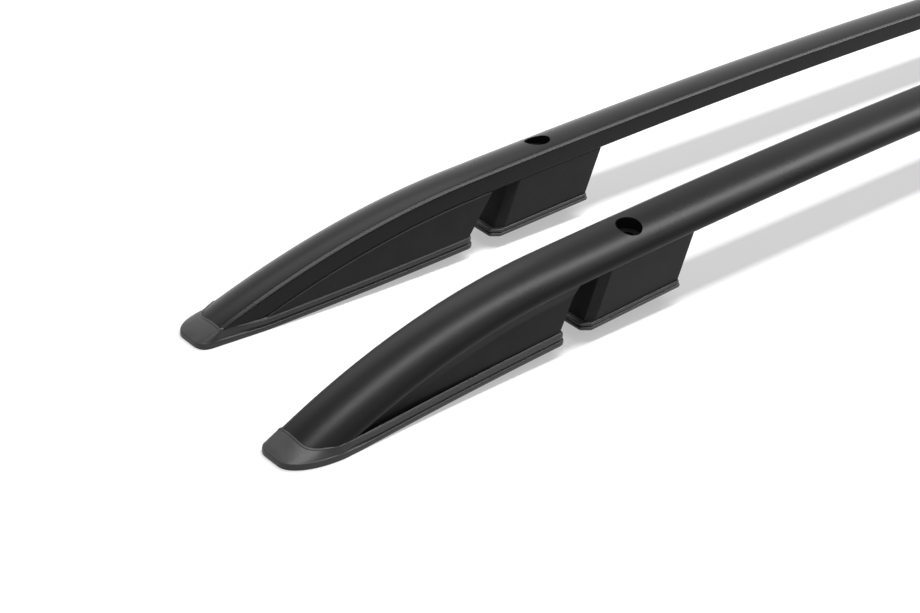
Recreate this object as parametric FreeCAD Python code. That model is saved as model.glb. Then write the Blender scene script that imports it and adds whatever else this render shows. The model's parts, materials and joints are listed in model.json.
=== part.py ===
import FreeCAD, Part
import os
from math import sin, cos, tan, asin, radians, degrees, sqrt

# A pair of raised roof rails, a left one and a right one, mirror images of each other.
# Millimetres, +Z up, the rails run along X and stand on the toes of their boots at Z = 0.
# Each rail is a bowed hollow bar on two ends. An end has a moulded leg that fills the space
# under the bar, a rubber boot that takes the tip of the bar and the leg, a second foot behind
# a slanted gap, and that foot's gasket.
# A rail is drawn in its own frame: X from mid length, Y from the flat side to the round side.

V = FreeCAD.Vector

# rail
LENGTH = 1512.0          # tip to tip
BAR_W = 42.0             # flat side to the widest point of the round side
BAR_H = 16.8             # height of the flat side
BAR_WALL = 2.2
CROWN_R = 50.0           # across the top of the bar
CROWN_APEX = 10.5        # highest line of the crown, from the flat side
SHOULDER_R = 7.0         # round side
EDGE = 0.8               # crisp edge between the top and the flat side, broken
TIP_H = 3.0              # crisp edge above the ground at the tip
ARCH_R = 9570.0          # long bow of the bar
NOSE_R = 676.0           # bend down to the tip
NOSE_LEN = 262.0         # tip to the start of that bend
HOOK_R = 4620.0          # the same bend also turns sideways, to the round side
BAR_SHY = 6.0            # rubber of the boot ahead of the bar's end

# ground line of an end
TOE_FLAT = 60.0          # level part under the tip
BASE_SLOPE = 2.7         # degrees, rise of the roof behind it

# boot
PAD = 3.0                # rubber under the bar and the leg
LEDGE_H = 4.0
LEDGE_OUT = 2.8          # beyond the foot of the leg
GROOVE_H = 1.3
GROOVE_OUT = 0.9
BEAD_H = 4.3
BEAD_OUT = 1.9
TOE_FLAT_R = 9.0         # plan corner of the toe on the flat side
TOE_ROUND_R = 25.0       # and on the round side
CUFF_H = 14.8            # highest line of the domed cap over the bar's end
CUFF_R = 80.0            # dome of the cap, across
CUFF_APEX = 11.0         # its highest line, from the flat side
CUFF_FRONT = 5.4         # cap above the ground at its front edge
CUFF_LEAN = 19.0         # length of the sloping front of the cap
CUFF_TOP = 5.0           # level part behind it
CUFF_LEN = 58.0          # tip to where the cap runs out in the bead
BOOT_TAIL = 5.0          # boot beyond the leg
BOOT_TAIL_R = 6.0

# leg
LEG_LEN = 261.0          # tip to the rear edge at the bead
LEG_SLANT = 32.5         # degrees from upright
BOOT_W = 42.3            # inside of the bead, flat side to round side
LEG_TOP_W = 38.6
LEG_CREASE_W = 37.2
LEG_FOOT_W = 41.7        # widest, inside the boot
LEG_CREASE = 10.0        # below the bar
LEG_FLARE = 10.3         # degrees, panel below the crease
LEG_TIP = 49.59          # tip of the rail to the tip of the leg
LEG_WALL = 2.6
LEG_EDGE = 0.9           # chamfer along the seam
SEAM = 0.25
LEG_CORES = ((164.43, 130.5), (126.585, 90.045), (65.25, 5.22))     # hollows from below, ahead of the rear edge

# hole, sleeve and second foot
FOOT_GAP = 23.0          # boot to gasket
HOLE_R = 10.9            # access hole in the top of the bar
HOLE_Y = 20.4            # from the flat side
BOLT_R = 4.3
BOLT_PLAY = 0.45         # hole in the bar round the bolt
SLEEVE_R = 7.0           # half width across the flats
SLEEVE_SHY = 1.2         # sleeve above the underside of the gasket
FOOT_AHEAD = 57.0        # foot at its bottom edge, ahead of the hole
FOOT_BEHIND = 42.0
FOOT_SLANT = 21.5        # degrees from upright
FOOT_CHAMFER_X = 7.0
FOOT_CHAMFER_Y = 5.5
FOOT_FLARE = 1.3         # each side, at the bottom edge
FOOT_INSET = 0.3         # flat side of the foot behind the flat side of the bar
FOOT_TOP_W = 40.0
FOOT_WALL = 2.8
FOOT_RIB = 2.2
FOOT_BOSS = 10.0         # half width of the block round the sleeve
FOOT_EDGE_R = 1.0
GASKET_LEDGE = 2.6
GASKET_GROOVE = 0.9
GASKET_BEAD = 2.3
GASKET_PAD = 3.0         # rubber under the foot
GASKET_SIDE = 2.0        # ledge beyond the foot
GASKET_END = 4.5
GASKET_STEP = 0.7        # bead behind the ledge
GASKET_R = 3.0

# insert nut and clips of the leg
INSERT_AHEAD = 77.778    # of the leg's rear edge
INSERT_R = 6.0           # half width across the flats
INSERT_LEN = 16.0
INSERT_BORE_R = 3.4
PAD_HOLE = 7.5           # half width of the opening in the pad below it
CLIPS = (143.55, 20.88)  # ahead of the leg's rear edge
CLIP_L = 14.0            # along the rail
CLIP_T = 3.0
CLIP_BARB = 1.2          # catch over the wall of the bar
CLIP_HEAD = 3.0          # height of the catch
PLAY = 0.3               # round the clips and the sleeves

# the pair
HALF_GAP = 50.5          # middle of the pair to a flat side, at mid length
TOE_IN = 0.56            # degrees, the rails draw together towards +X
STAGGER = 42.0           # the right rail is this much ahead

# front end
UP = V(0, 0, 1)
ACROSS = V(0, 1, 0)
FAR = 2 * BAR_W          # reach of the cutting tools
X_TIP = -LENGTH / 2
X_NOSE = X_TIP + NOSE_LEN
X_BASE = X_TIP + TOE_FLAT
X_LEG = X_TIP + LEG_LEN
X_HOLE = X_LEG + BOOT_TAIL + FOOT_GAP + GASKET_END + FOOT_AHEAD
X_INSERT = X_LEG - INSERT_AHEAD
STRIP_H = LEDGE_H + GROOVE_H + BEAD_H
GASKET_H = GASKET_LEDGE + GASKET_GROOVE + GASKET_BEAD

# the bar's crisp edge: a long arc about an axis across the rail, then a bend about a tilted axis
TH_NOSE = asin(-X_NOSE / ARCH_R)
N_NOSE = V(-sin(TH_NOSE), 0, cos(TH_NOSE))
T_NOSE = V(cos(TH_NOSE), 0, sin(TH_NOSE))
BEND = ACROSS * (1 / HOOK_R) - N_NOSE * (1 / NOSE_R)
TO_CENTRE = BEND * (1 / BEND.Length ** 2)
NOSE_AXIS = (BEND * (1 / BEND.Length)).cross(T_NOSE)
TURN = (NOSE_LEN + CUFF_LEAN) * BEND.Length * 1.1      # radians, enough to pass the tip


def round_bend(turn, offset):
    """Way from the start of the bend to a point that began at offset there and went round by turn."""
    return TO_CENTRE + FreeCAD.Rotation(NOSE_AXIS, degrees(turn)).multVec(offset - TO_CENTRE)


def turn_to(dx, offset):
    """Turn, in radians, at which that point has gone dx along the rail."""
    lo, hi = 0.0, 1.2
    for _ in range(50):
        mid = (lo + hi) / 2
        lo, hi = (mid, hi) if round_bend(mid, offset).x > dx else (lo, mid)
    return lo


P_NOSE = V(X_NOSE, 0, TIP_H - round_bend(turn_to(-NOSE_LEN, V(0, 0, 0)), V(0, 0, 0)).z)
C_NOSE = P_NOSE + TO_CENTRE
ARCH_Z = P_NOSE.z - ARCH_R * cos(TH_NOSE)
ARCH_TOP = ARCH_Z + ARCH_R                             # crisp edge at mid length


def bar_point(x, y, v):
    """Point of the front half at x, on the line that passes through y and v of every section."""
    if x >= P_NOSE.x + N_NOSE.x * v:
        return V(x, y, ARCH_Z + sqrt((ARCH_R + v) ** 2 - x ** 2))
    offset = ACROSS * y + N_NOSE * v
    return P_NOSE + round_bend(turn_to(x - X_NOSE, offset), offset)


def under_z(x):
    """Height of the bar's underside over its middle."""
    return bar_point(x, HOLE_Y, -BAR_H).z


def hook(x):
    """Sideways shift of the end at x."""
    return bar_point(x, 0, -BAR_H).y


def base_z(x):
    return max(0.0, x - X_BASE) * tan(radians(BASE_SLOPE))


def poly(points):
    return Part.makePolygon(points + [points[0]])


def side_plate(points, y0=-FAR, y1=FAR):
    """Side view outline (x, z) carried across the rail."""
    face = Part.Face(poly([V(x, y0, z) for x, z in points]))
    return face.extrude(V(0, y1 - y0, 0))


def slab(h0, h1, x0=X_TIP - BAR_W, x1=FAR):
    """Layer that follows the ground line, between two heights above it."""
    xs = [x0, X_BASE, x1]
    return side_plate([(x, base_z(x) + h0) for x in xs] + [(x, base_z(x) + h1) for x in xs[::-1]])


def crown_z(y):
    """Crown of the section; it passes through the crisp corner."""
    return sqrt(CROWN_R ** 2 - (y - CROWN_APEX) ** 2) - sqrt(CROWN_R ** 2 - CROWN_APEX ** 2)


def bar_skin():
    """Section of the bar, its crisp corner at the origin: flat side, crown, round side, underside."""
    cc = V(0, CROWN_APEX, crown_z(CROWN_APEX) - CROWN_R)
    cs = V(0, BAR_W - SHOULDER_R, 0)
    cs.z = cc.z + sqrt((CROWN_R - SHOULDER_R) ** 2 - (cs.y - cc.y) ** 2)
    side, top = V(0, 0, -EDGE), V(0, EDGE, crown_z(EDGE))
    top_end = cs + (cs - cc).normalize() * SHOULDER_R
    end = V(0, cs.y + sqrt(SHOULDER_R ** 2 - (BAR_H + cs.z) ** 2), -BAR_H)
    mid_y = (top.y + top_end.y) / 2
    foot = V(0, 0, -BAR_H)
    return [Part.LineSegment(foot, side).toShape(), Part.LineSegment(side, top).toShape(),
            Part.Arc(top, V(0, mid_y, crown_z(mid_y)), top_end).toShape(),
            Part.Arc(top_end, cs + ACROSS * SHOULDER_R, end).toShape(),
            Part.LineSegment(end, foot).toShape()]


def bar_bore():
    """Hollow of the bar, a wall inside the skin, with flat walls."""
    w = BAR_WALL
    y1 = BAR_W - SHOULDER_R / 2
    pts = [(w, w - BAR_H), (w, -w), (BAR_W / 2, crown_z(BAR_W / 2) - w), (y1, crown_z(y1) - 1.2 * w), (y1, w - BAR_H)]
    return poly([V(0, y, z) for y, z in pts]).Edges


def rear(shape):
    return shape.mirror(V(0, 0, 0), V(1, 0, 0))


def at_bend(edges):
    """Section carried to the start of the bend, square to the bar."""
    wire = Part.Wire(edges)
    wire.rotate(V(0, 0, 0), ACROSS, -degrees(TH_NOSE))
    wire.translate(P_NOSE)
    return Part.Face(wire)


def along_bend(edges):
    return at_bend(edges).revolve(C_NOSE, NOSE_AXIS, degrees(TURN))


def bar_solid(edges):
    """Section turned along the long arc, then down and sideways round the bend at each end."""
    span = at_bend(edges).revolve(V(0, 0, ARCH_Z), ACROSS, 2 * degrees(TH_NOSE))
    nose = along_bend(edges)
    return span.fuse([nose, rear(nose)])


def along_front(edges):
    """Section carried along the front half of the bar's line."""
    span = at_bend(edges).revolve(V(0, 0, ARCH_Z), ACROSS, degrees(TH_NOSE))
    return span.fuse(along_bend(edges))


def along_bar(v0, v1):
    """Wide layer that follows the bar, between two heights on its section, front half."""
    return along_front(poly([V(0, -FAR, v0), V(0, FAR, v0), V(0, FAR, v1), V(0, -FAR, v1)]).Edges)


def ahead_of(x):
    return side_plate([(x - FAR, -FAR), (x, -FAR), (x, FAR), (x - FAR, FAR)])


def upright(x, y, r, z0, z1):
    return Part.makeCylinder(r, z1 - z0, V(x, y, z0), UP)


def hexagon(x, y, r, z0, z1):
    """Upright six-sided bar, r half its width across the flats."""
    c = r / cos(radians(30))
    pts = [V(x + c * cos(radians(a)), y + c * sin(radians(a)), z0) for a in range(0, 360, 60)]
    return Part.Face(poly(pts)).extrude(UP * (z1 - z0))


def block(x, y, half, half_y, z0=-BAR_H, z1=ARCH_TOP):
    return Part.makeBox(2 * half, 2 * half_y, z1 - z0, V(x - half, y - half_y, z0))


def corner_edges(solid, x, y):
    """Upright edges of a prism at a plan point."""
    out = []
    for e in solid.Edges:
        a, b = e.Vertexes[0].Point, e.Vertexes[-1].Point
        if abs(a.z - b.z) > 1 and all(sqrt((p.x - x) ** 2 + (p.y - y) ** 2) < 0.01 for p in (a, b)):
            out.append(e)
    return out


def boot_prism(out):
    """Plan outline of the boot carried upright, out beyond the foot of the leg."""
    x0, x1 = X_TIP + LEDGE_OUT - out, X_LEG + BOOT_TAIL - LEDGE_OUT + out
    y0, y1 = -out, BOOT_W + out
    xm = (x0 + x1) / 2
    z0 = -BAR_H

    def pt(x, y):
        return V(x, y + hook(x), z0)

    wire = Part.Wire([
        Part.Arc(pt(x1, y0), pt(xm, y0), pt(x0, y0)).toShape(),
        Part.LineSegment(pt(x0, y0), pt(x0, y1)).toShape(),
        Part.Arc(pt(x0, y1), pt(xm, y1), pt(x1, y1)).toShape(),
        Part.LineSegment(pt(x1, y1), pt(x1, y0)).toShape()])
    solid = Part.Face(wire).extrude(UP * (3 * BAR_H))
    inside = LEDGE_OUT - out
    for r, x, y in ((TOE_FLAT_R, x0, y0), (TOE_ROUND_R, x0, y1), (BOOT_TAIL_R, x1, y0), (BOOT_TAIL_R, x1, y1)):
        solid = solid.makeFillet(r - inside, corner_edges(solid, x, y + hook(x)))
    return solid


def cuff():
    """Domed cap of the boot over the bar's end, falling back to the bead."""
    x_end = X_TIP + CUFF_LEN
    pts = [(X_TIP, CUFF_FRONT), (X_TIP + CUFF_LEAN, CUFF_H), (X_TIP + CUFF_LEAN + CUFF_TOP, CUFF_H),
           (x_end, base_z(x_end) + STRIP_H), (x_end, PAD), (X_TIP, PAD)]
    dome = Part.makeCylinder(CUFF_R, 2 * CUFF_LEN, V(X_TIP - CUFF_LEN / 2, CUFF_APEX + hook(X_TIP), CUFF_H - CUFF_R),
                             V(1, 0, 0))
    return side_plate(pts).common(boot_prism(BEAD_OUT)).common(dome)


def boot_blank():
    layers = [slab(0, LEDGE_H).common(boot_prism(LEDGE_OUT)),
              slab(LEDGE_H, LEDGE_H + GROOVE_H).common(boot_prism(GROOVE_OUT)),
              slab(LEDGE_H + GROOVE_H, STRIP_H).common(boot_prism(BEAD_OUT))]
    return layers[0].fuse(layers[1:] + [cuff()])


def leg_section(seam, edge):
    """Section of the leg: seam chamfer, tucked band, crease, flared panel."""
    v0, v1 = -BAR_H - seam, -BAR_H - SEAM - LEG_CREASE
    v2 = v1 - (LEG_FOOT_W - LEG_CREASE_W) / tan(radians(LEG_FLARE))
    deep = -ARCH_TOP
    top_w = LEG_TOP_W + (SEAM - seam) * (LEG_TOP_W - LEG_CREASE_W) / LEG_CREASE
    side = [(0, v0 - edge), (edge, v0)] if edge else [(0, v0)]
    pts = [(0, deep)] + side + [(top_w, v0), (LEG_CREASE_W, v1), (LEG_FOOT_W, v2), (LEG_FOOT_W, deep)]
    return poly([V(0, y, v) for y, v in pts]).Edges


def rear_x(z, back=0.0):
    """Slanted rear edge of the leg at height z, or a line that far ahead of it."""
    slant = radians(LEG_SLANT)
    return X_LEG - back / cos(slant) + (z - base_z(X_LEG) - STRIP_H) * tan(slant)


def leg_side():
    """Side view of the leg, carried across the rail and up past the bar."""
    tip = X_TIP + LEG_TIP
    rise, slant = tan(radians(BASE_SLOPE)), tan(radians(LEG_SLANT))
    z_low = (PAD + rise * (rear_x(0) - X_BASE)) / (1 - rise * slant)      # rear edge on the pad
    return side_plate([(tip, base_z(tip) + PAD), (X_BASE, PAD), (rear_x(z_low), z_low),
                       (rear_x(ARCH_TOP), ARCH_TOP), (tip, ARCH_TOP)])


def leg_blank(seam=SEAM, edge=LEG_EDGE):
    """Leg as a solid, down to the pad of the boot."""
    return along_front(leg_section(seam, edge)).common(leg_side())


def leg_core(a0, a1):
    """Hollow in the leg between two ribs, open below."""
    x0, x1 = X_LEG - a0, X_LEG - a1
    xs = (x0, (x0 + x1) / 2, x1)
    roof = [(x, under_z(x) - SEAM - LEG_WALL) for x in xs]
    y0, y1 = hook(x0) + LEG_WALL, hook(x1) + LEG_CREASE_W - LEG_WALL
    behind = side_plate([(rear_x(z, LEG_WALL), z) for z in (-BAR_H, ARCH_TOP)] + [(FAR, ARCH_TOP), (FAR, -BAR_H)])
    return side_plate([(x0, 0), (x1, 0)] + roof[::-1], y0, y1).cut(behind)


def clip(ahead, play=0.0):
    """Tongue on top of the leg that catches over the lower wall of the bar; with play, its slot."""
    x = X_LEG - ahead
    y = HOLE_Y + hook(x)
    stem = block(x, y, CLIP_L / 2 + play, CLIP_T / 2 + play)
    if play:
        return stem.common(along_bar(-BAR_H - SEAM, -BAR_H + BAR_WALL + SEAM))
    head = block(x, y + CLIP_BARB / 2, CLIP_L / 2, (CLIP_T + CLIP_BARB) / 2)
    low = -BAR_H + BAR_WALL
    return stem.common(along_bar(-BAR_H - LEG_WALL, low + CLIP_HEAD)).fuse(
        head.common(along_bar(low, low + CLIP_HEAD)))


def insert_place():
    return X_INSERT, HOLE_Y + hook(X_INSERT)


def insert_z():
    """Lower end of the insert nut, flush with the highest point under the leg there."""
    return base_z(X_INSERT + INSERT_R) + PAD


def insert():
    x, y = insert_place()
    z0, z1 = insert_z(), insert_z() + INSERT_LEN
    return hexagon(x, y, INSERT_R, z0, z1).cut(upright(x, y, INSERT_BORE_R, z0, z1))


def leg():
    body = leg_blank().fuse([clip(a) for a in CLIPS])
    cores = [leg_core(*c) for c in LEG_CORES]
    nut = hexagon(*insert_place(), INSERT_R, 0, insert_z() + INSERT_LEN)
    return body.cut(cores + [nut]).removeSplitter()


def foot_outline(z, side, end, d):
    """Plan of the foot at height z: two chamfered corners ahead, square behind; d inside."""
    z_low = base_z(X_HOLE) + GASKET_H
    z_top = under_z(X_HOLE)
    k = (z - z_low) / (z_top - z_low)
    sx = (z - z_low) * tan(radians(FOOT_SLANT))
    y0 = -FOOT_FLARE + (FOOT_INSET + FOOT_FLARE) * k - side + d
    y1 = BAR_W + (FOOT_TOP_W - BAR_W) * k + side - d
    x0, x1 = X_HOLE - FOOT_AHEAD + sx - end + d, X_HOLE + FOOT_BEHIND + sx + end - d
    cx, cy = FOOT_CHAMFER_X, FOOT_CHAMFER_Y
    return [V(x1, y0, z), V(x1, y1, z), V(x0 + cx, y1, z), V(x0, y1 - cy, z), V(x0, y0 + cy, z), V(x0 + cx, y0, z)]


def foot_prism(d, edge_r):
    """Flat-sided tapering prism of the foot, d inside its skin."""
    low, top = [foot_outline(z, 0, 0, d) for z in (base_z(X_HOLE) - BAR_H, ARCH_TOP)]
    n = len(low)
    sides = [poly([low[i], low[(i + 1) % n], top[(i + 1) % n], top[i]]) for i in range(n)]
    solid = Part.Solid(Part.Shell([Part.Face(w) for w in sides + [poly(low), poly(top)]]))
    if edge_r > 0:
        solid = solid.makeFillet(edge_r, [e for e in solid.Edges if abs(e.Vertexes[0].Z - e.Vertexes[-1].Z) > 1])
    return solid


def foot_blank(d):
    solid = foot_prism(d, FOOT_EDGE_R if d == 0 else 0)
    solid = solid.cut(along_bar(-BAR_H - SEAM - d, 4 * BAR_H))
    return solid.cut(slab(-4 * BAR_H, GASKET_PAD, x1=X_HOLE + 4 * BAR_W))


def foot():
    inner = foot_blank(FOOT_WALL)
    shell = foot_blank(0).cut(inner)
    inside = [block(X_HOLE, HOLE_Y, FOOT_BOSS, FOOT_BOSS), block(X_HOLE, HOLE_Y, FAR, FOOT_RIB / 2),
              block(X_HOLE, HOLE_Y, FOOT_RIB / 2, FAR)]
    body = shell.fuse([s.common(inner) for s in inside])
    return body.cut(hexagon(X_HOLE, HOLE_Y, SLEEVE_R, 0, ARCH_TOP)).removeSplitter()


def gasket():
    """Stepped rubber seat under the second foot."""
    hs = (0, GASKET_LEDGE, GASKET_LEDGE + GASKET_GROOVE, GASKET_H)
    steps = (0, 2 * GASKET_STEP, GASKET_STEP)
    x1 = X_HOLE + 4 * BAR_W
    layers = []
    for h0, h1, s in zip(hs, hs[1:], steps):
        plan = foot_outline(base_z(X_HOLE), GASKET_SIDE - s, GASKET_END - s, 0)
        prism = Part.Face(poly([V(p.x, p.y, -BAR_H) for p in plan])).extrude(UP * (4 * BAR_H))
        if s < max(steps):
            prism = prism.makeFillet(GASKET_R, corner_edges(prism, plan[0].x, plan[0].y)
                                     + corner_edges(prism, plan[1].x, plan[1].y))
        layers.append(prism.common(slab(h0, h1, x1=x1)))
    solid = layers[0].fuse(layers[1:])
    solid = solid.cut(foot_blank(0))
    return solid.cut(hexagon(X_HOLE, HOLE_Y, SLEEVE_R + PLAY, -BAR_H, ARCH_TOP)).removeSplitter()


def sleeve_span():
    """Six-sided steel sleeve from just above the underside of the gasket to the bar."""
    reach = SLEEVE_R / cos(radians(30))
    return base_z(X_HOLE - reach) + SLEEVE_SHY, under_z(X_HOLE - reach)


def sleeve():
    z0, z1 = sleeve_span()
    return hexagon(X_HOLE, HOLE_Y, SLEEVE_R, z0, z1).cut(upright(X_HOLE, HOLE_Y, BOLT_R, z0, z1))


def hole_cutter():
    """Round access hole through the top of the bar, and the bolt hole below it."""
    z0, z1 = under_z(X_HOLE) + BAR_H / 2, ARCH_TOP + BAR_H
    return upright(X_HOLE, HOLE_Y, HOLE_R, z0, z1).fuse(
        upright(X_HOLE, HOLE_Y, BOLT_R + BOLT_PLAY, z0 - BAR_H, z1)).removeSplitter()


def bar(outer):
    cutters = [hole_cutter()] + [clip(a, PLAY) for a in CLIPS]
    body = outer.cut(bar_solid(bar_bore()))
    return body.cut(cutters + [rear(c) for c in cutters]).removeSplitter()


def rail():
    """Nodes of one rail in its own frame."""
    ends = [slab(-2 * ARCH_TOP, PAD), ahead_of(X_TIP + BAR_SHY)]
    outer = bar_solid(bar_skin()).cut(ends + [rear(e) for e in ends])
    boot = boot_blank().cut([outer, leg_blank(0, 0), block(*insert_place(), PAD_HOLE, PAD_HOLE)])
    end = {"leg": leg(), "boot": boot.removeSplitter(), "foot": foot(), "gasket": gasket()}
    nodes = {"bar": bar(outer)}
    for name, shape in end.items():
        nodes["front_" + name] = shape
        nodes["rear_" + name] = rear(shape)
    for name, shape in (("sleeves", sleeve()), ("inserts", insert())):
        nodes[name] = Part.makeCompound([shape, rear(shape)])
    return nodes


def place(shape, side):
    """Put a rail's piece on the left (side = 1) or, mirrored, on the right (side = -1)."""
    out = shape.copy()
    out.rotate(V(0, BAR_W / 2, 0), UP, -TOE_IN)
    out.translate(V(STAGGER / 2, HALF_GAP, 0))
    if side < 0:
        out = out.mirror(V(0, 0, 0), ACROSS)
        out.translate(V(-STAGGER, 0, 0))
    return out


def main():
    os.makedirs("parts", exist_ok=True)
    nodes = rail()
    for prefix, side in (("left", 1), ("right", -1)):
        for name, shape in nodes.items():
            place(shape, side).exportStep("parts/%s_%s.step" % (prefix, name))


main()
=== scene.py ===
import json
from math import asin, atan2, cos, pi, radians, sin, sqrt, tan

import bmesh
import bpy
from mathutils import Matrix, Quaternion, Vector

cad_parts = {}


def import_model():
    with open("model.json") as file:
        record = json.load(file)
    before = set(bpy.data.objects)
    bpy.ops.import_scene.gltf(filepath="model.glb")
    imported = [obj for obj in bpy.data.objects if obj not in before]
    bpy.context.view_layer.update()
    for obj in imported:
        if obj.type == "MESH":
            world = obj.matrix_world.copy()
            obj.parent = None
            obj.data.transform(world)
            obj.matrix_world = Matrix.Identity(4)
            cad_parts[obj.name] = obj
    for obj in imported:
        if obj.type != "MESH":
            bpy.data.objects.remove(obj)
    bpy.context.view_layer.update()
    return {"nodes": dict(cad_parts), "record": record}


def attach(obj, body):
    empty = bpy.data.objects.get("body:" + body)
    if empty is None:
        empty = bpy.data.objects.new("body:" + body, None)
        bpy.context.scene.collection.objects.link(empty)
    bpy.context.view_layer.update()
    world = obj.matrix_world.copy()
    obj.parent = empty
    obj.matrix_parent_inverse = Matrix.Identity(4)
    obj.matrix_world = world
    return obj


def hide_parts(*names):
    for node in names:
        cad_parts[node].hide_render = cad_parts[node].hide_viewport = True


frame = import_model()
NODES = frame["nodes"]
MM = 0.001

# photograph
PHOTO_W = 920            # pixels
FOCAL = 2061             # pixels
EYE = (-1.4946, -1.0126, 0.8455)       # metres
YAW = 46.40              # degrees from +X towards +Y
PITCH = 31.16            # degrees down
ROLL = 4.33              # degrees, top of the camera to its left

# rail, mm and degrees, as in the CAD: X along it, Y from the flat side to the round side
LENGTH = 1512.0
BAR_W = 42.0
BAR_H = 16.8             # flat side, from the crisp edge down
BAR_WALL = 2.2
CROWN_R = 50.0
CROWN_APEX = 10.5        # highest line of the crown, from the flat side
SHOULDER_R = 7.0         # round side
TIP_H = 3.0              # crisp edge above the ground at the tip
ARCH_R = 9570.0          # bow of the bar
NOSE_R = 676.0           # bend of the nose, downwards
HOOK_R = 4620.0          # bend of the nose, sideways
NOSE_LEN = 262.0
BAR_SHY = 6.0            # bar stops this far short of the boot's toe
TOE_FLAT = 60.0          # underside is level this far from the toe
BASE_SLOPE = 2.7         # and rises from there
PAD = 3.0                # floor of the boot, and of the gasket's pocket
STRIP_H = 9.6            # double bead of the boot
HOLE_FROM_TIP = 350.5    # access hole, from the tip
HOLE_Y = 20.4            # and from the flat side
HOLE_R = 10.9
BOLT_HOLE_R = 4.75       # hole below it, in the bar's lower wall
LEG_LEN = 261.0          # rear edge of the leg on the boot, from the tip
LEG_SLANT = 32.5         # rear edge, from the upright
LEG_TIP = 49.59          # leg starts here, from the tip
LEG_TOP_W = 38.6
LEG_CREASE_W = 37.2
LEG_FOOT_W = 41.7
LEG_CREASE = 10.0        # crease of the round side, below the seam
LEG_FLARE = 10.3         # lean of the panel below the crease
SEAM = 0.25              # between bar and leg
BOOT_W = 42.3            # inside the ledge
LEDGE_OUT = 2.8
BOOT_TAIL = 5.0          # boot runs on behind the leg
FOOT_AHEAD = 57.0        # foot, from the hole towards the leg
FOOT_BEHIND = 42.0       # and away from it
FOOT_SLANT = 21.5        # its ends, from the upright
FOOT_CHAMFER = (7.0, 5.5)
FOOT_FLARE = 1.3         # flat side stands out this far at the gasket
FOOT_INSET = 0.3         # and in this far under the bar
FOOT_TOP_W = 40.0        # its round side under the bar, from the bar's flat side
GASKET_H = 5.8
GASKET_SIDE = 2.0        # ledge beside the foot
GASKET_END = 4.5         # ledge at its ends
SLEEVE_HOLE_R = 9.6
HALF_GAP = 50.5          # half the gap between the rails
TOE_IN = 0.56
STAGGER = 42.0           # left rail lies this far behind the right one

# softer shapes of the visible pieces, mm
EDGE_R = 1.1             # lower corners of the bar
FACET_DROP = 1.05        # narrow facet along the bar's crisp edge
FACET_IN = 3.4
SOFT = 0.5               # softness of the facet's two lines
HOLD = 0.35              # guard line beside a rounded edge, keeps the flats flat
BORE_CORNER = 1.2        # bore's outer corner below the crown, in walls
LEG_PROUD = 0.7          # leg stands proud of the bar's flat side
LEG_EDGE = ((0.0, 0.95), (0.02, 0.75), (0.1, 0.58), (1.15, 0.04), (1.3, 0.0))   # at the seam: in, down
LEG_DEEP = -100.0        # leg's section reaches below the ground before it is trimmed
CREASE_R = 1.2
WELD = 1e-7              # metres

# fineness of the meshes
STEP_BEND = 4.0          # mm along the bent end
STEP_ARCH = 16.0         # mm along the bow
STEP_LEG = 6.0           # mm along the bow, over the leg
BAR_OVERRUN = 6.0        # mm that the bar's sweep runs past the tip before it is cut
LEG_OVERRUN = 12.0       # mm that the leg's sweep runs past its front end
LEG_RUN_ON = 80.0        # and past its rear edge
CROWN_STEPS = 18
SHOULDER_STEPS = 16
SOFT_STEPS = 3
EDGE_STEPS = 4
HOLE_STEPS = 64
SLEEVE_SIDES = 6
WIDEST_TURN = 1.2        # radians, bound of the search along the bend
HALVINGS = 40
HARD_EDGE = 28           # degrees: a sharper edge is shaded as one
RUBBER_EDGE = 60

# grain of the finishes
FINE_DETAIL = 3.0
PATCH_DETAIL = 4.0
GRAIN_DEPTH = 0.0002     # metres
MOTTLE_ENDS = (0.3, 0.7)

# stage
FLOOR_HALF = 12.0        # metres
FLOOR_COLOUR = 0.58
FLOOR_LIFT = 0.42        # glow of the floor to the camera and in reflections
ROOM = 0.35              # grey of the room that lights the object
LAMPS = (                # place, target and size in metres, power in watts
    ("strip", (0.6, -0.09, 1.6), (0.6, -0.09, 0.0), (3.2, 0.26), 47),
    ("side_panel", (0.0, 1.5, 1.8), (-0.6, 0.0, 0.0), (1.8, 1.0), 13),
)


def link(tree, a, out, b, into):
    tree.links.new(a.outputs[out], b.inputs[into])


def make_group(name, inputs, outputs):
    """Empty shader group with its sockets: name, kind and default of each."""
    group = bpy.data.node_groups.new(name, "ShaderNodeTree")
    for socket, kind, value in inputs:
        item = group.interface.new_socket(socket, in_out="INPUT", socket_type=kind)
        item.default_value = value
    for socket, kind in outputs:
        group.interface.new_socket(socket, in_out="OUTPUT", socket_type=kind)
    return group, group.nodes.new("NodeGroupInput"), group.nodes.new("NodeGroupOutput")


def grain_group():
    """Fine pits and lumps of a moulded or sprayed skin: a normal, and a mottle between 0 and 1."""
    group, gin, gout = make_group(
        "grain",
        [("Scale", "NodeSocketFloat", 900.0),
         ("Height", "NodeSocketFloat", 0.1),
         ("Patch", "NodeSocketFloat", 30.0)],
        [("Normal", "NodeSocketVector"), ("Mottle", "NodeSocketFloat")])
    where = group.nodes.new("ShaderNodeTexCoord")
    fine = group.nodes.new("ShaderNodeTexNoise")
    fine.inputs["Detail"].default_value = FINE_DETAIL
    patch = group.nodes.new("ShaderNodeTexNoise")
    patch.inputs["Detail"].default_value = PATCH_DETAIL
    bump = group.nodes.new("ShaderNodeBump")
    bump.inputs["Distance"].default_value = GRAIN_DEPTH
    link(group, where, "Object", fine, "Vector")
    link(group, where, "Object", patch, "Vector")
    link(group, gin, "Scale", fine, "Scale")
    link(group, gin, "Patch", patch, "Scale")
    link(group, gin, "Height", bump, "Strength")
    link(group, fine, "Fac", bump, "Height")
    link(group, bump, "Normal", gout, "Normal")
    link(group, patch, "Fac", gout, "Mottle")
    return group


GRAIN = grain_group()


def grey(level):
    return (level, level, level)


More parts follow.
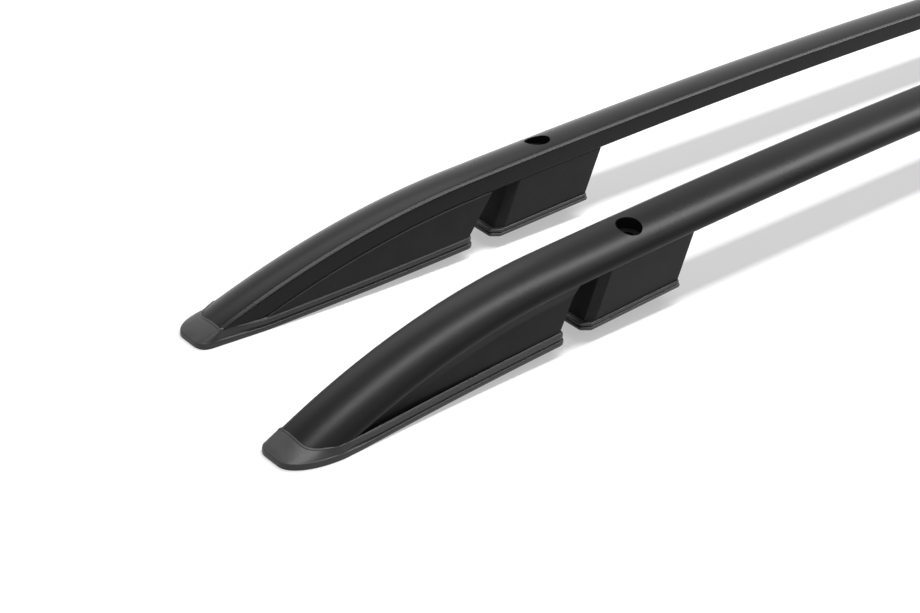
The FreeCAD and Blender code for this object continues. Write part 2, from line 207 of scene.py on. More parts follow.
def skin(name, dark, light, rough, spread, scale, height, patch, specular=0.5, metallic=0.0):
    """Grained material that drifts a little between two colours and in its roughness."""
    mat = bpy.data.materials.new(name)
    mat.use_nodes = True
    tree = mat.node_tree
    bsdf = tree.nodes["Principled BSDF"]
    bsdf.inputs["Specular IOR Level"].default_value = specular
    bsdf.inputs["Metallic"].default_value = metallic
    grain = tree.nodes.new("ShaderNodeGroup")
    grain.node_tree = GRAIN
    grain.inputs["Scale"].default_value = scale
    grain.inputs["Height"].default_value = height
    grain.inputs["Patch"].default_value = patch
    ramp = tree.nodes.new("ShaderNodeValToRGB")
    for stop, place, colour in zip(ramp.color_ramp.elements, MOTTLE_ENDS, (dark, light)):
        stop.position = place
        stop.color = (*colour, 1)
    span = tree.nodes.new("ShaderNodeMapRange")
    span.inputs["To Min"].default_value = rough - spread
    span.inputs["To Max"].default_value = rough + spread
    link(tree, grain, "Mottle", ramp, "Fac")
    link(tree, grain, "Mottle", span, "Value")
    link(tree, ramp, "Color", bsdf, "Base Color")
    link(tree, span, "Result", bsdf, "Roughness")
    link(tree, grain, "Normal", bsdf, "Normal")
    return mat


MATERIALS = {
    "bar_coat": skin(
        "bar_coat", grey(0.006), grey(0.009), rough=0.28, spread=0.03,
        scale=2200, height=0.08, patch=14, specular=0.13),
    "moulded_plastic": skin(
        "moulded_plastic", grey(0.022), grey(0.029), rough=0.44, spread=0.04,
        scale=1600, height=0.18, patch=40, specular=0.09),
    "boot_rubber": skin(
        "boot_rubber", grey(0.018), grey(0.028), rough=0.42, spread=0.06,
        scale=1100, height=0.3, patch=90, specular=0.38),
    "gasket_rubber": skin(
        "gasket_rubber", grey(0.018), grey(0.024), rough=0.36, spread=0.05,
        scale=1100, height=0.25, patch=60),
    "plated_steel": skin(
        "plated_steel", grey(0.5), (0.62, 0.62, 0.6), rough=0.35, spread=0.08,
        scale=500, height=0.1, patch=90, metallic=1.0),
    "insert_brass": skin(
        "insert_brass", (0.6, 0.42, 0.16), (0.72, 0.52, 0.22), rough=0.35, spread=0.08,
        scale=500, height=0.1, patch=90, metallic=1.0),
}


X_TIP = -LENGTH / 2
X_NOSE = X_TIP + NOSE_LEN
X_BASE = X_TIP + TOE_FLAT
X_LEG = X_TIP + LEG_LEN
X_HOLE = X_TIP + HOLE_FROM_TIP
ACROSS = Vector((0, 1, 0))
ZERO = Vector((0, 0, 0))

# the bar's crisp edge: a long arc, then a bend about a tilted axis
TH_NOSE = asin(-X_NOSE / ARCH_R)
N_NOSE = Vector((-sin(TH_NOSE), 0, cos(TH_NOSE)))
T_NOSE = Vector((cos(TH_NOSE), 0, sin(TH_NOSE)))
BEND = ACROSS / HOOK_R - N_NOSE / NOSE_R
TO_CENTRE = BEND / BEND.length_squared
NOSE_AXIS = BEND.normalized().cross(T_NOSE)


def round_bend(turn, offset):
    """Point off the crisp edge by offset, carried round the bend, as seen from the bend's start."""
    return TO_CENTRE + Quaternion(NOSE_AXIS, turn) @ (offset - TO_CENTRE)


def turn_to(dx, offset):
    """Turn at which that point lies dx along the rail from the bend's start."""
    lo, hi = 0.0, WIDEST_TURN
    for _ in range(HALVINGS):
        mid = (lo + hi) / 2
        lo, hi = (mid, hi) if round_bend(mid, offset).x > dx else (lo, mid)
    return lo


P_NOSE = Vector((X_NOSE, 0, TIP_H - round_bend(turn_to(-NOSE_LEN, ZERO), ZERO).z))
ARCH_Z = P_NOSE.z - ARCH_R * cos(TH_NOSE)


def bar_point(x, y, v):
    """Point of the front half at x, on the line through y and v of every section."""
    if x >= P_NOSE.x + N_NOSE.x * v:
        return Vector((x, y, ARCH_Z + sqrt((ARCH_R + v) ** 2 - x ** 2)))
    offset = ACROSS * y + N_NOSE * v
    return P_NOSE + round_bend(turn_to(x - X_NOSE, offset), offset)


def hook(x):
    """How far the nose has bent sideways at x."""
    return bar_point(x, 0, -BAR_H).y


def base_z(x):
    """Underside of the boot or gasket at x."""
    return max(0.0, x - X_BASE) * tan(radians(BASE_SLOPE))


def smooth(a, b, x):
    k = min(1.0, max(0.0, (x - a) / (b - a)))
    return k * k * (3 - 2 * k)


def rounded(a, corner, b, steps):
    """Points of a soft corner between a and b."""
    out = []
    for i in range(steps + 1):
        k = i / steps
        shares = ((1 - k) ** 2, 2 * k * (1 - k), k * k)
        out.append(tuple(shares[0] * p + shares[1] * q + shares[2] * r for p, q, r in zip(a, corner, b)))
    return out


def crown_z(y):
    """Top of the bar's section at y, from the crisp edge up."""
    return sqrt(CROWN_R ** 2 - (y - CROWN_APEX) ** 2) - sqrt(CROWN_R ** 2 - CROWN_APEX ** 2)


CROWN_Z = crown_z(CROWN_APEX) - CROWN_R
SHOULDER_Y = BAR_W - SHOULDER_R
SHOULDER_Z = CROWN_Z + sqrt((CROWN_R - SHOULDER_R) ** 2 - (SHOULDER_Y - CROWN_APEX) ** 2)


def bar_section():
    """Outer section of the bar, (y, v) from its crisp edge: flat side, crown, shoulder, underside."""
    r, low = EDGE_R, -BAR_H
    a1 = atan2(SHOULDER_Z - CROWN_Z, SHOULDER_Y - CROWN_APEX)
    a2 = asin((low - SHOULDER_Z) / SHOULDER_R)
    y_end = CROWN_APEX + CROWN_R * cos(a1)
    d, f = FACET_DROP, FACET_IN
    up = crown_z(f)
    lift = (up + d) / f * SOFT
    facet = rounded((0, -d - SOFT), (0, -d), (SOFT, lift - d), SOFT_STEPS)
    facet += rounded((f - SOFT, up - lift), (f, up), (f + SOFT, crown_z(f + SOFT)), SOFT_STEPS)
    y_in = f + SOFT + HOLD
    ys = [y_in + (y_end - y_in) * i / CROWN_STEPS for i in range(CROWN_STEPS + 1)]
    crown = [(y, crown_z(y)) for y in ys]
    turns = [a1 + (a2 - a1) * i / SHOULDER_STEPS for i in range(1, SHOULDER_STEPS)]
    shoulder = [(SHOULDER_Y + SHOULDER_R * cos(a), SHOULDER_Z + SHOULDER_R * sin(a)) for a in turns]
    end = SHOULDER_Y + SHOULDER_R * cos(a2)
    flat_side = [(0, low + r + HOLD), (0, -d - SOFT - HOLD)]
    underside = rounded(shoulder[-1], (end, low), (end - r, low), EDGE_STEPS)[1:]
    underside += [(end - r - HOLD, low), (r + HOLD, low)]
    corner = rounded((r, low), (0, low), (0, low + r), EDGE_STEPS)
    return flat_side + facet + crown + shoulder + underside + corner


def bore_section():
    """Inside of the bar."""
    w, y_mid, y_out = BAR_WALL, BAR_W / 2, BAR_W - SHOULDER_R / 2
    return [(w, w - BAR_H), (w, -w), (y_mid, crown_z(y_mid) - w),
            (y_out, crown_z(y_out) - BORE_CORNER * w), (y_out, w - BAR_H)]


def leg_section():
    """Section of the leg: seam chamfer, tucked band, soft crease, flared panel."""
    r, wide = CREASE_R, LEG_CREASE_W
    v0 = -BAR_H - SEAM
    v1 = v0 - LEG_CREASE
    lean = (LEG_TOP_W - wide) / LEG_CREASE
    flare = tan(radians(LEG_FLARE))
    v2 = v1 - (LEG_FOOT_W - wide) / flare
    flat_side = [(-LEG_PROUD, LEG_DEEP)] + [(y - LEG_PROUD, v0 - down) for y, down in LEG_EDGE]
    band = [(LEG_TOP_W, v0), (wide + (r + HOLD) * lean, v1 + r + HOLD)]
    crease = rounded((wide + r * lean, v1 + r), (wide, v1), (wide + r * flare, v1 - r), EDGE_STEPS)
    panel = [(wide + (r + HOLD) * flare, v1 - r - HOLD), (LEG_FOOT_W, v2), (LEG_FOOT_W, LEG_DEEP)]
    return flat_side + band + crease + panel


def bend_line(x_from):
    """Points and up vectors of the crisp edge from x_from to the start of the bend."""
    turn0 = turn_to(x_from - X_NOSE, ZERO)
    n = max(2, round(turn0 / BEND.length / STEP_BEND))
    turns = [turn0 * (1 - i / n) for i in range(n)]
    return [(P_NOSE + round_bend(t, ZERO), Quaternion(NOSE_AXIS, t) @ N_NOSE) for t in turns]


def arch_line(x_to, step=STEP_ARCH):
    """Points and up vectors of the crisp edge from the start of the bend to x_to."""
    a0, a1 = -TH_NOSE, asin(x_to / ARCH_R)
    n = max(2, round((a1 - a0) * ARCH_R / step))
    angles = [a0 + (a1 - a0) * i / n for i in range(n + 1)]
    return [(Vector((ARCH_R * sin(a), 0, ARCH_Z + ARCH_R * cos(a))), Vector((sin(a), 0, cos(a))))
            for a in angles]


def flipped(line):
    """The same line on the rear half."""
    return [(Vector((-p.x, p.y, p.z)), Vector((-u.x, u.y, u.z))) for p, u in reversed(line)]


def sweep_tree():
    """Geometry nodes that carry a section along a line whose points know which way is up."""
    tree = bpy.data.node_groups.new("sweep", "GeometryNodeTree")
    face = tree.interface
    face.new_socket("Line", in_out="INPUT", socket_type="NodeSocketGeometry")
    section = face.new_socket("Section", in_out="INPUT", socket_type="NodeSocketObject")
    skin_in = face.new_socket("Skin", in_out="INPUT", socket_type="NodeSocketMaterial")
    face.new_socket("Piece", in_out="OUTPUT", socket_type="NodeSocketGeometry")
    add = tree.nodes.new
    gin, gout = add("NodeGroupInput"), add("NodeGroupOutput")
    info = add("GeometryNodeObjectInfo")
    line = add("GeometryNodeMeshToCurve")
    ring = add("GeometryNodeMeshToCurve")
    up = add("GeometryNodeInputNamedAttribute")
    up.data_type = "FLOAT_VECTOR"
    up.inputs["Name"].default_value = "up"
    aim = add("GeometryNodeSetCurveNormal")
    aim.mode = "FREE"
    body = add("GeometryNodeCurveToMesh")
    body.inputs["Fill Caps"].default_value = True
    real = add("GeometryNodeRealizeInstances")
    paint = add("GeometryNodeSetMaterial")
    link(tree, gin, "Line", line, "Mesh")
    link(tree, gin, "Section", info, "Object")
    link(tree, info, "Geometry", ring, "Mesh")
    link(tree, line, "Curve", aim, "Curve")
    link(tree, up, "Attribute", aim, "Normal")
    link(tree, aim, "Curve", body, "Curve")
    link(tree, ring, "Curve", body, "Profile Curve")
    link(tree, body, "Mesh", real, "Geometry")
    link(tree, real, "Geometry", paint, "Geometry")
    link(tree, gin, "Skin", paint, "Material")
    link(tree, paint, "Geometry", gout, "Piece")
    return tree, section.identifier, skin_in.identifier


SWEEP, SWEEP_SECTION, SWEEP_SKIN = sweep_tree()


def place_in_scene(name, data):
    obj = bpy.data.objects.new(name, data)
    bpy.context.scene.collection.objects.link(obj)
    return obj


def scratch(name, verts, edges, faces):
    mesh = bpy.data.meshes.new(name)
    mesh.from_pydata(verts, edges, faces)
    return place_in_scene(name, mesh)


def settled(obj, *helpers):
    """Mesh of an object with its modifiers worked in; the object and its helpers go."""
    graph = bpy.context.evaluated_depsgraph_get()
    mesh = bpy.data.meshes.new_from_object(obj.evaluated_get(graph))
    for o in (obj,) + helpers:
        bpy.data.objects.remove(o)
    return mesh


def sweep(name, line, section, slot):
    """Section (y, v) carried along a line of points and up vectors, as a plain mesh in metres."""
    n, m = len(line), len(section)
    path = scratch(name + "_line", [p * MM for p, _ in line], [(i, i + 1) for i in range(n - 1)], [])
    up = path.data.attributes.new("up", "FLOAT_VECTOR", "POINT")
    for item, (_, u) in zip(up.data, line):
        item.vector = u
    corners = [(v * MM, -y * MM, 0) for y, v in section]
    ring = scratch(name + "_section", corners, [(i, (i + 1) % m) for i in range(m)], [])
    mod = path.modifiers.new("sweep", "NODES")
    mod.node_group = SWEEP
    mod[SWEEP_SECTION] = ring
    mod[SWEEP_SKIN] = MATERIALS[slot]
    return settled(path, ring)


def cut_off(mesh, point, normal):
    """Takes away what lies on the normal's side of a plane, and closes the cut."""
    bm = bmesh.new()
    bm.from_mesh(mesh)
    bmesh.ops.remove_doubles(bm, verts=bm.verts[:], dist=WELD)
    everything = bm.verts[:] + bm.edges[:] + bm.faces[:]
    got = bmesh.ops.bisect_plane(
        bm, geom=everything, plane_co=Vector(point) * MM, plane_no=Vector(normal), clear_outer=True)
    rim = [e for e in got["geom_cut"] if isinstance(e, bmesh.types.BMEdge)]
    if rim:
        bmesh.ops.edgeloop_fill(bm, edges=rim)
    bmesh.ops.recalc_face_normals(bm, faces=bm.faces[:])
    bm.to_mesh(mesh)
    bm.free()


def carve(mesh, tool):
    """Cuts a tool object out of a mesh."""
    obj = place_in_scene("blank", mesh)
    cut = obj.modifiers.new("cut", "BOOLEAN")
    cut.operation = "DIFFERENCE"
    cut.solver = "EXACT"
    cut.object = tool
    return settled(obj, tool)


def drum(x, y, r, z0, z1, steps=HOLE_STEPS):
    """Upright cylinder as a cutting tool."""
    turns = [2 * pi * i / steps for i in range(steps)]
    verts = [Vector((x + r * cos(a), y + r * sin(a), z)) * MM for z in (z0, z1) for a in turns]
    walls = [(i, (i + 1) % steps, steps + (i + 1) % steps, steps + i) for i in range(steps)]
    ends = [tuple(range(steps))[::-1], tuple(range(steps, 2 * steps))]
    return scratch("drum", verts, [], walls + ends)


def seat(side, end):
    """Rail frame in metres to its place in the pair: side 1 left, -1 right; end 1 front, -1 rear."""
    turn = Matrix.Translation((0, BAR_W / 2 * MM, 0)) @ Matrix.Rotation(-radians(TOE_IN), 4, "Z")
    turn = turn @ Matrix.Translation((0, -BAR_W / 2 * MM, 0)) @ Matrix.Diagonal((end, 1, 1, 1))
    left = Matrix.Translation((STAGGER / 2 * MM, HALF_GAP * MM, 0)) @ turn
    if side > 0:
        return left
    return Matrix.Translation((-STAGGER * MM, 0, 0)) @ Matrix.Diagonal((1, -1, 1, 1)) @ left


def dress(obj, slot):
    obj.data.materials.clear()
    obj.data.materials.append(MATERIALS[slot])


def hand_out(mesh, piece, node, slot, ends, sharp=HARD_EDGE):
    """Copies of a rail's piece at every place it has, each in the stead of its CAD node."""
    for hand, side in (("left", 1), ("right", -1)):
        for word, end in ends:
            own = mesh.copy()
            place = seat(side, end)
            own.transform(place)
            if place.determinant() < 0:
                own.flip_normals()
            own.shade_smooth()
            own.set_sharp_from_angle(angle=radians(sharp))
            obj = place_in_scene("_".join(w for w in (hand, word, piece) if w), own)
            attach(obj, "root")
            dress(obj, slot)
            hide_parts("_".join(w for w in (hand, word, node) if w))


BOTH_ENDS = (("front", 1), ("rear", -1))
WHOLE_RAIL = (("", 1),)


def dress_nodes():
    """Finish of every CAD node, for those that stay in sight."""
    for part in frame["record"]["subparts"]:
        dress(NODES[part["node"]], part["material_slot"])


def bars():
    """Hollow bars with their access and bolt holes, trimmed where the boots take them."""
    half = bend_line(X_TIP - BAR_OVERRUN) + arch_line(0)
    mesh = sweep("bar", half + flipped(half[:-1]), bar_section(), "bar_coat")
    for end in (1, -1):
        cut_off(mesh, (end * (X_TIP + BAR_SHY), 0, 0), (-end, 0, 0))
    cut_off(mesh, (0, 0, PAD), (0, 0, -1))
    inner = arch_line(0)[1:]
    bore = sweep("bore", inner + flipped(inner[:-1]), bore_section(), "bar_coat")
    mesh = carve(mesh, place_in_scene("bore", bore))
    z = bar_point(X_HOLE, HOLE_Y, -BAR_H).z
    for end in (1, -1):
        mesh = carve(mesh, drum(end * X_HOLE, HOLE_Y, HOLE_R, z + BAR_H / 2, z + 2 * BAR_H))
        mesh = carve(mesh, drum(end * X_HOLE, HOLE_Y, BOLT_HOLE_R, z - BAR_H, z + BAR_H / 2))
    hand_out(mesh, "rail_bar", "bar", "bar_coat", WHOLE_RAIL)


def legs():
    """Moulded legs under the bar, with their slanted rear edge."""
    line = bend_line(X_TIP + LEG_TIP - LEG_OVERRUN) + arch_line(X_LEG + LEG_RUN_ON, STEP_LEG)
    mesh = sweep("leg", line, leg_section(), "moulded_plastic")
    slope, slant = radians(BASE_SLOPE), radians(LEG_SLANT)
    cut_off(mesh, (X_TIP + LEG_TIP, 0, 0), (-1, 0, 0))
    cut_off(mesh, (X_BASE, 0, PAD), (sin(slope), 0, -cos(slope)))
    cut_off(mesh, (X_LEG, 0, base_z(X_LEG) + STRIP_H), (cos(slant), 0, -sin(slant)))
    hand_out(mesh, "leg_moulding", "leg", "moulded_plastic", BOTH_ENDS)


# boot, mm: its skin from the ground up, along the sides as (out beyond the leg, height) and at the toe
# as (in from the toe, height) up to the ledge, then shares of the way to the lip, then over the lip
# as (inwards, up)
SIDE_SKIN = ((2.3, 0.0), (2.7, 0.25), (2.8, 0.8), (2.8, 3.1), (2.65, 3.65), (2.2, 3.95), (1.35, 4.0),
             (0.98, 4.15), (0.9, 4.45), (0.9, 4.95), (1.0, 5.2), (1.4, 5.35), (1.75, 5.6), (1.9, 6.1),
             (1.9, 7.4), (1.9, 8.6), (1.8, 9.1), (1.5, 9.45), (1.0, 9.6))
TOE_SKIN = ((0.35, 0.0), (0.08, 0.25), (0.0, 0.8), (0.0, 3.6), (0.15, 4.3), (0.5, 4.75), (1.0, 5.0),
            (1.5, 5.2))
CAP_SHARES = (0.08, 0.16, 0.26, 0.37, 0.48, 0.6, 0.72, 0.83, 0.92, 0.975, 1.0)
LIP = ((0.1, 0.22), (0.25, 0.36), (1.15, 0.8), (1.45, 0.8), (1.7, 0.4), (1.8, -2.6))
CAP_BULGE = 0.9          # below 1 the cap swells on its way up to the lip
BEAD_FOOT = 5.5          # above this height the upper bead follows a lip that rises
TOE_OVAL = (45.0, 30.0)  # toe's oval corner: where it ends along the rail, where it starts across
TOE_CORNER = 11.0        # toe's corner on the flat side
TAIL_CORNER = 7.0
LIP_AT = 18.0            # lip on top of the bar, from the tip
LIP_SWEEP = 23.0         # it falls back this far down the round side
LIP_BEND_Y = 18.0        # and starts to do so here
LIP_LIFT = 0.4           # above the bar
LIP_CORNER = 3.0         # across the bar, where the toe's corner ends
LIP_FRONT = 21.0         # and where its oval starts
LIP_SHY = 0.3            # and short of the round side, where the oval ends
LIP_PACE = 0.8           # pace of the lip round the oval
LIP_CLEAR = 1.5          # sides' lip starts behind the cap's
FLAT_RISE = (2.6, 20, 60)     # rise of the sides' lip: how much, and where from the tip it is full and gone
ROUND_RISE = (1.6, 32, 80)
TOE_BLEND = 6.0          # toe's own skin is reached this much nearer the tip
SIDE_STATIONS = 34
CORNER_STATIONS = 9
FRONT_STATIONS = 6
OVAL_STATIONS = 22
TAIL_STATIONS = 6
LIP_EASE = 10            # rounds of easing where the cap's lip runs out into the bead
EASE_BEFORE = 5          # stations on either side of that joint
EASE_AFTER = 9


def bar_top(y):
    """Top of the bar's section at y, round side and all."""
    if y < SHOULDER_Y + SHOULDER_R / 2:
        return crown_z(y)
    return SHOULDER_Z + sqrt(max(0.0, SHOULDER_R ** 2 - (y - SHOULDER_Y) ** 2))


def lip_on_bar(y):
    """Lip of the boot where it lies on the bar, at y of the bar's section."""
    back = LIP_SWEEP * (max(0.0, y - LIP_BEND_Y) / (BAR_W - LIP_BEND_Y)) ** 3
    return bar_point(X_TIP + LIP_AT + back, y, bar_top(y)) + Vector((0, 0, LIP_LIFT))


def flat_y(x):
    """Boot's outline on the flat side."""
    return hook(x) - LEDGE_OUT


def round_y(x):
    """Boot's outline on the round side."""
    return hook(x) + BOOT_W + LEDGE_OUT


def toe_share(x, rise):
    return 1 - smooth(rise[1] - TOE_BLEND, rise[2], x - X_TIP)


def side_station(x, y, inner_y, rise):
    """Station beside the leg."""
    most, near, far = rise
    top = base_z(x) + STRIP_H + most * (1 - smooth(near, far, x - X_TIP))
    lip = Vector((max(x, X_TIP + LIP_AT + LIP_CLEAR), inner_y, top))
    return Vector((x, y, 0)), lip, toe_share(x, rise)


def toe_stations():
    """Stations of the cap: flat side's corner, front, and the oval of the round side."""
    out = []
    x_oval, y_oval = X_TIP + TOE_OVAL[0], TOE_OVAL[1]
    start = (X_TIP + TOE_CORNER, flat_y(X_TIP + TOE_CORNER))
    y_front = flat_y(X_TIP) + TOE_CORNER
    corner = rounded(start, (X_TIP, flat_y(X_TIP)), (X_TIP, y_front), CORNER_STATIONS)
    for i, (x, y) in enumerate(corner):
        out.append((Vector((x, y, 0)), lip_on_bar(LIP_CORNER * i / CORNER_STATIONS), 1.0))
    for i in range(1, FRONT_STATIONS + 1):
        k = i / FRONT_STATIONS
        ground = Vector((X_TIP, y_front + (y_oval - y_front) * k, 0))
        out.append((ground, lip_on_bar(LIP_CORNER + (LIP_FRONT - LIP_CORNER) * k), 1.0))
    for i in range(1, OVAL_STATIONS + 1):
        k = i / OVAL_STATIONS
        x = x_oval - TOE_OVAL[0] * cos(pi / 2 * k)
        y = y_oval + (round_y(x_oval) - y_oval) * sin(pi / 2 * k)
        lip = lip_on_bar(LIP_FRONT + (BAR_W - LIP_FRONT - LIP_SHY) * k ** LIP_PACE)
        out.append((Vector((x, y, 0)), lip, toe_share(x, ROUND_RISE)))
    return out


def tail_stations(x_tail, x_end):
    """Stations behind the leg, from the round side to the flat side."""
    low, high = flat_y(x_end), round_y(x_end)
    plan = rounded((x_tail, round_y(x_tail)), (x_end, high), (x_end, high - TAIL_CORNER), TAIL_STATIONS)
    plan += rounded((x_end, low + TAIL_CORNER), (x_end, low), (x_tail, flat_y(x_tail)), TAIL_STATIONS)[:-1]
    out = []
    for x, y in plan:
        inwards, edge = (-1, round_y(x) - y) if y > (low + high) / 2 else (1, y - flat_y(x))
        lip = Vector((x - LEDGE_OUT * smooth(x_tail, x_end, x), y, base_z(x) + STRIP_H))
        lip.y += inwards * LEDGE_OUT * (1 - smooth(0, TAIL_CORNER, edge))
        out.append((Vector((x, y, 0)), lip, 0.0))
    return out


def boot_stations():
    """Round the boot: ground point, lip point and how much of a toe it is there."""
    x_end = X_LEG + BOOT_TAIL
    x_tail = x_end - TAIL_CORNER
    x_corner, x_oval = X_TIP + TOE_CORNER, X_TIP + TOE_OVAL[0]
    out = []
    for i in range(SIDE_STATIONS):
        x = x_tail + (x_corner - x_tail) * i / SIDE_STATIONS
        out.append(side_station(x, flat_y(x), hook(x), FLAT_RISE))
    out += toe_stations()
    joint = len(out)
    for i in range(1, SIDE_STATIONS):
        x = x_oval + (x_tail - x_oval) * i / SIDE_STATIONS
        out.append(side_station(x, round_y(x), hook(x) + BOOT_W, ROUND_RISE))
    for _ in range(LIP_EASE):
        for i in range(joint - EASE_BEFORE, joint + EASE_AFTER):
            before, here, after = (out[j][1] for j in (i - 1, i, i + 1))
            here.z = (before.z + 2 * here.z + after.z) / 4
    return out + tail_stations(x_tail, x_end)


def boot_column(ground, lip, toe):
    """Points of the boot's skin above one ground point, up to the lip and over it."""
    way = Vector((lip.x - ground.x, lip.y - ground.y, 0))
    reach = way.length
    way.normalize()
    base = base_z(ground.x)
    extra = lip.z - base - STRIP_H
    side = []
    for out, h in SIDE_SKIN:
        lift = extra * smooth(BEAD_FOOT, STRIP_H, h) * (1 - toe)
        side.append(ground + way * (LEDGE_OUT - out) + Vector((0, 0, base + h + lift)))
    front = [ground + way * d + Vector((0, 0, base + h)) for d, h in TOE_SKIN]
    start, h0 = TOE_SKIN[-1]
    for k in CAP_SHARES:
        level = base + h0 + (lip.z - base - h0) * k ** CAP_BULGE
        front.append(ground + way * (start + (reach - start) * k) + Vector((0, 0, level)))
    column = [a.lerp(b, toe) for a, b in zip(side, front)]
    return column + [column[-1] + way * d + Vector((0, 0, h)) for d, h in LIP]


def loft(name, rings):
    """Closed mesh through rings of points given in mm, its two ends filled."""
    n = len(rings[0])
    verts = [p for ring in rings for p in ring]
    faces = [(j * n + i, j * n + (i + 1) % n, (j + 1) * n + (i + 1) % n, (j + 1) * n + i)
             for j in range(len(rings) - 1) for i in range(n)]
    for j in (0, len(rings) - 1):
        verts.append(sum(rings[j], Vector()) / n)
        faces += [(j * n + i, j * n + (i + 1) % n, len(verts) - 1) for i in range(n)]
    mesh = bpy.data.meshes.new(name)
    mesh.from_pydata([p * MM for p in verts], [], faces)
    bm = bmesh.new()
    bm.from_mesh(mesh)
    bmesh.ops.recalc_face_normals(bm, faces=bm.faces[:])
    bm.to_mesh(mesh)
    bm.free()
    return mesh


def boots():
    """Rubber boots: a double bead along the sides that closes to a cap over the bar's end."""
    columns = [boot_column(*s) for s in boot_stations()]
    mesh = loft("boot", list(zip(*columns)))
    hand_out(mesh, "rubber_boot", "boot", "boot_rubber", BOTH_ENDS, sharp=RUBBER_EDGE)


# gasket, mm: its skin from the ground up as (in from the ledge, height)
GASKET_SKIN = ((0.5, 0.0), (0.12, 0.15), (0.0, 0.5), (0.0, 1.9), (0.12, 2.3), (0.45, 2.55), (0.9, 2.62),
               (1.3, 2.7), (1.4, 2.9), (1.4, 3.3), (1.25, 3.48), (0.9, 3.55), (0.74, 3.75), (0.7, 4.1),
               (0.7, 4.9), (0.8, 5.3), (1.05, 5.62), (1.4, 5.8), (1.8, 5.85))
GASKET_TURNS = ((3.0, 6),) * 2 + ((1.6, 4),) * 4      # corners: how soft, and steps


def foot_ring(at, side, end, h):
    """Ring round the foot's plan at one height, widened at its sides and ends, laid h above the base."""
    low, top = GASKET_H, bar_point(X_HOLE, 0, -BAR_H).z - base_z(X_HOLE)
    k, lean = (at - low) / (top - low), (at - low) * tan(radians(FOOT_SLANT))
    y0 = -FOOT_FLARE + (FOOT_INSET + FOOT_FLARE) * k - side
    y1 = BAR_W + (FOOT_TOP_W - BAR_W) * k + side
    x0, x1 = X_HOLE - FOOT_AHEAD + lean - end, X_HOLE + FOOT_BEHIND + lean + end
    cx, cy = FOOT_CHAMFER
    plan = ((x1, y0), (x1, y1), (x0 + cx, y1), (x0, y1 - cy), (x0, y0 + cy), (x0 + cx, y0))
    corners = [Vector(p) for p in plan]
    ring = []
    for i, (r, steps) in enumerate(GASKET_TURNS):
        p, a, b = corners[i], corners[i - 1], corners[(i + 1) % len(corners)]
        ring += rounded(p + (a - p).normalized() * r, p, p + (b - p).normalized() * r, steps)
    return [Vector((x, y, base_z(x) + h)) for x, y in ring]


def gaskets():
    """Rubber seats under the feet: ledge, groove and bead, with a pocket for the foot."""
    rings = [foot_ring(0, GASKET_SIDE - s, GASKET_END - s, h) for s, h in GASKET_SKIN]
    rings += [foot_ring(h, 0, 0, h) for h in (GASKET_H, PAD)]
    sleeve_hole = drum(X_HOLE, HOLE_Y, SLEEVE_HOLE_R, -BAR_H, 2 * BAR_H, SLEEVE_SIDES)
    mesh = carve(loft("gasket", rings), sleeve_hole)
    hand_out(mesh, "foot_gasket", "gasket", "gasket_rubber", BOTH_ENDS, sharp=RUBBER_EDGE)


def seen_directly(tree):
    """1 for what the camera sees, straight or in a reflection or through glass, else 0."""
    path = tree.nodes.new("ShaderNodeLightPath")
    some = path.outputs["Is Camera Ray"]
    for other in ("Is Glossy Ray", "Is Transmission Ray"):
        most = tree.nodes.new("ShaderNodeMath")
        most.operation = "MAXIMUM"
        tree.links.new(some, most.inputs[0])
        tree.links.new(path.outputs[other], most.inputs[1])
        some = most.outputs[0]
    return some


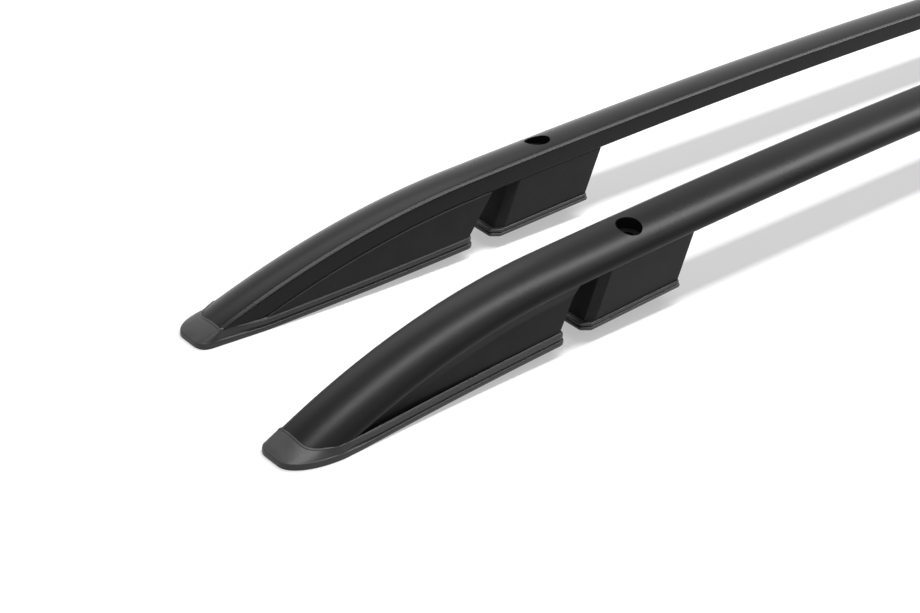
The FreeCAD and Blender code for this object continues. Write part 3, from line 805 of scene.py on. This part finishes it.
def floor_material():
    """Pale floor that keeps its shadow and reads white to the camera."""
    mat = bpy.data.materials.new("floor")
    mat.use_nodes = True
    tree = mat.node_tree
    tree.nodes.clear()
    out = tree.nodes.new("ShaderNodeOutputMaterial")
    diffuse = tree.nodes.new("ShaderNodeBsdfDiffuse")
    diffuse.inputs["Color"].default_value = (*grey(FLOOR_COLOUR), 1)
    lift = tree.nodes.new("ShaderNodeEmission")
    level = tree.nodes.new("ShaderNodeMath")
    level.operation = "MULTIPLY"
    level.inputs[1].default_value = FLOOR_LIFT
    both = tree.nodes.new("ShaderNodeAddShader")
    tree.links.new(seen_directly(tree), level.inputs[0])
    link(tree, level, "Value", lift, "Strength")
    link(tree, diffuse, "BSDF", both, 0)
    link(tree, lift, "Emission", both, 1)
    link(tree, both, "Shader", out, "Surface")
    return mat


def floor():
    h = FLOOR_HALF
    obj = scratch("floor", [(-h, -h, 0), (h, -h, 0), (h, h, 0), (-h, h, 0)], [], [(0, 1, 2, 3)])
    obj.data.materials.append(floor_material())


def world():
    """White to the camera and in reflections, a grey room to everything else."""
    scene = bpy.context.scene
    scene.world = bpy.data.worlds.new("room")
    scene.world.use_nodes = True
    tree = scene.world.node_tree
    mix = tree.nodes.new("ShaderNodeMix")
    mix.data_type = "RGBA"
    mix.inputs["A"].default_value = (*grey(ROOM), 1)
    mix.inputs["B"].default_value = (*grey(1), 1)
    tree.links.new(seen_directly(tree), mix.inputs["Factor"])
    link(tree, mix, "Result", tree.nodes["Background"], "Color")


def lamps():
    for name, place, target, size, power in LAMPS:
        data = bpy.data.lights.new(name, "AREA")
        data.shape = "RECTANGLE"
        data.size, data.size_y = size
        data.energy = power
        obj = place_in_scene(name, data)
        obj.location = place
        obj.rotation_euler = (Vector(target) - Vector(place)).to_track_quat("-Z", "Y").to_euler()


def camera():
    """The photograph's camera."""
    data = bpy.data.cameras.new("camera")
    data.sensor_fit = "HORIZONTAL"
    data.lens = data.sensor_width * FOCAL / PHOTO_W
    obj = place_in_scene("camera", data)
    yaw, pitch = radians(YAW), radians(PITCH)
    ahead = Vector((cos(yaw) * cos(pitch), sin(yaw) * cos(pitch), -sin(pitch)))
    level = Vector((sin(yaw), -cos(yaw), 0))
    turn = Quaternion(ahead, -radians(ROLL))
    right, up = turn @ level, turn @ level.cross(ahead)
    obj.matrix_world = Matrix((right, up, -ahead)).transposed().to_4x4()
    obj.location = EYE
    bpy.context.scene.camera = obj


dress_nodes()
bars()
legs()
boots()
gaskets()
floor()
world()
lamps()
camera()

bpy.context.scene.view_settings.view_transform = "Standard"
